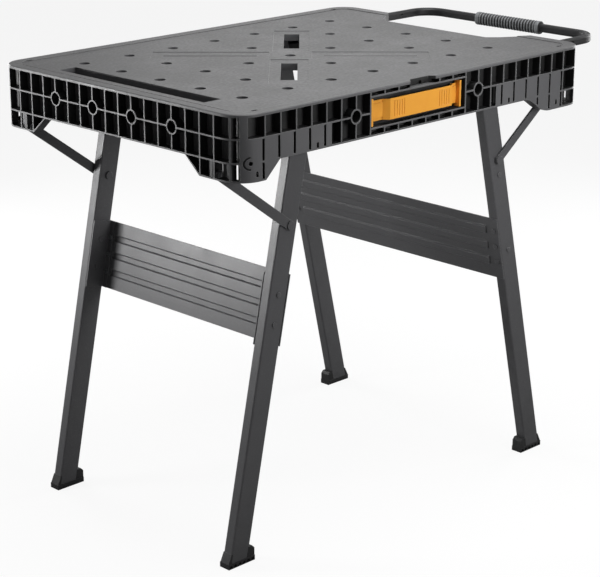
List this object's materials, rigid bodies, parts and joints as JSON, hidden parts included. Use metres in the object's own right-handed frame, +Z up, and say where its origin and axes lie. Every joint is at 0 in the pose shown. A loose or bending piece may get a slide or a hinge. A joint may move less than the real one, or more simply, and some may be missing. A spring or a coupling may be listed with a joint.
{
  "type": "folding portable workbench",
  "caption": "Folding workbench with a ribbed moulded top, hole grid, clamp slots, tray, front latch, sliding carry handle and two folding steel leg frames.",
  "frame": {"origin": "on the floor, under the middle of the bench's outer box with the carry handle pulled out", "axes": "+X along the top towards the carry handle, -Y towards the latch side, +Z up"},
  "size_m": [1.0156, 0.601, 0.775],
  "materials": {
    "moulding": "moulded satin black plastic",
    "leg_paint": "textured black powder coat",
    "panel_paint": "satin black powder coat on pressed sheet",
    "foot_plastic": "matt black plastic",
    "latch_plastic": "satin orange-yellow plastic",
    "grip_plastic": "matt dark grey ribbed plastic",
    "handle_paint": "satin black powder coat",
    "guide_plastic": "matt dark slide plastic",
    "zinc": "zinc plated steel",
    "dark_steel": "black passivated steel"
  },
  "bodies": {
    "bench_top": {"handle_sleeve_back": "guide_plastic", "handle_sleeve_front": "guide_plastic", "left_rail_back": "dark_steel", "left_rail_front": "dark_steel", "left_saddle_back": "guide_plastic", "left_saddle_front": "guide_plastic", "rail_screws": "zinc", "release_bar_guide_left": "guide_plastic", "release_bar_guide_right": "guide_plastic", "right_rail_back": "dark_steel", "right_rail_front": "dark_steel", "right_saddle_back": "guide_plastic", "right_saddle_front": "guide_plastic", "sleeve_screws": "zinc", "worktop": "moulding"},
    "carry_handle": {"carry_handle": "handle_paint", "handle_grip": "grip_plastic", "handle_stop_pins": "zinc"},
    "latch": {"latch_handle": "latch_plastic", "latch_shanks": "zinc"},
    "release_bar_left": {"release_bar_left": "zinc"},
    "release_bar_right": {"release_bar_right": "zinc"},
    "right_carriage": {"right_slide_block_back": "guide_plastic", "right_slide_block_front": "guide_plastic", "right_slide_pins": "zinc"},
    "right_legs": {"right_brace_bolts": "dark_steel", "right_cross_panel": "panel_paint", "right_foot_back": "foot_plastic", "right_foot_front": "foot_plastic", "right_leg_back": "leg_paint", "right_leg_front": "leg_paint", "right_panel_rivets": "dark_steel", "right_side_rivets": "dark_steel"},
    "right_braces": {"right_brace_back": "leg_paint", "right_brace_front": "leg_paint", "right_brace_stubs": "zinc"},
    "left_carriage": {"left_slide_bush_back": "guide_plastic", "left_slide_bush_front": "guide_plastic", "left_slide_rod": "zinc"},
    "left_legs": {"left_brace_bolts": "dark_steel", "left_cross_panel": "panel_paint", "left_foot_back": "foot_plastic", "left_foot_front": "foot_plastic", "left_leg_back": "leg_paint", "left_leg_front": "leg_paint", "left_panel_rivets": "dark_steel", "left_side_rivets": "dark_steel", "panel_bracket_back": "panel_paint", "panel_bracket_front": "panel_paint"},
    "left_braces": {"left_brace_back": "leg_paint", "left_brace_front": "leg_paint", "left_brace_stubs": "zinc"}
  },
  "joints": [
    {"name": "right_fold", "type": "hinge", "parent": "right_carriage", "child": "right_legs", "pos_m": [0.11319, 0.0005, 0.733], "axis": [0, 1, 0], "range_deg": [0, 102.5]},
    {"name": "right_slide", "type": "slide", "parent": "bench_top", "child": "right_carriage", "axis": [1, 0, 0], "range_m": [0, 0.16138]},
    {"name": "right_brace_swing", "type": "hinge", "parent": "right_legs", "child": "right_braces", "pos_m": [0.1462, 0.0005, 0.59], "axis": [0, -1, 0], "range_deg": [0, 44.38]},
    {"name": "left_fold", "type": "hinge", "parent": "left_carriage", "child": "left_legs", "pos_m": [-0.31468, 0.0005, 0.7], "axis": [0, -1, 0], "range_deg": [0, 101.35]},
    {"name": "left_slide", "type": "slide", "parent": "bench_top", "child": "left_carriage", "axis": [-1, 0, 0], "range_m": [0, 0.13434]},
    {"name": "left_brace_swing", "type": "hinge", "parent": "left_legs", "child": "left_braces", "pos_m": [-0.3433, 0.0005, 0.563], "axis": [0, 1, 0], "range_deg": [0, 57.49]},
    {"name": "handle_slide", "type": "slide", "parent": "bench_top", "child": "carry_handle", "axis": [-1, 0, 0], "range_m": [0, 0.105]},
    {"name": "latch_pull", "type": "slide", "parent": "bench_top", "child": "latch", "axis": [0, -1, 0], "range_m": [0, 0.008], "stiffness_N_per_m": 400},
    {"name": "release_bar_left_slide", "type": "slide", "parent": "bench_top", "child": "release_bar_left", "axis": [1, 0, 0], "range_m": [0, 0.008]},
    {"name": "release_bar_right_slide", "type": "slide", "parent": "bench_top", "child": "release_bar_right", "axis": [-1, 0, 0], "range_m": [0, 0.008]}
  ],
  "couplings": [
    {"joint": "right_slide", "follows": "right_fold", "m_per_rad": 0.090178},
    {"joint": "right_brace_swing", "follows": "right_fold", "ratio": 0.43249},
    {"joint": "left_fold", "follows": "right_fold", "ratio": 0.98829},
    {"joint": "left_slide", "follows": "right_fold", "m_per_rad": 0.075064},
    {"joint": "left_brace_swing", "follows": "right_fold", "ratio": 0.56043},
    {"joint": "release_bar_left_slide", "follows": "latch_pull", "ratio": 1},
    {"joint": "release_bar_right_slide", "follows": "latch_pull", "ratio": 1}
  ]
}
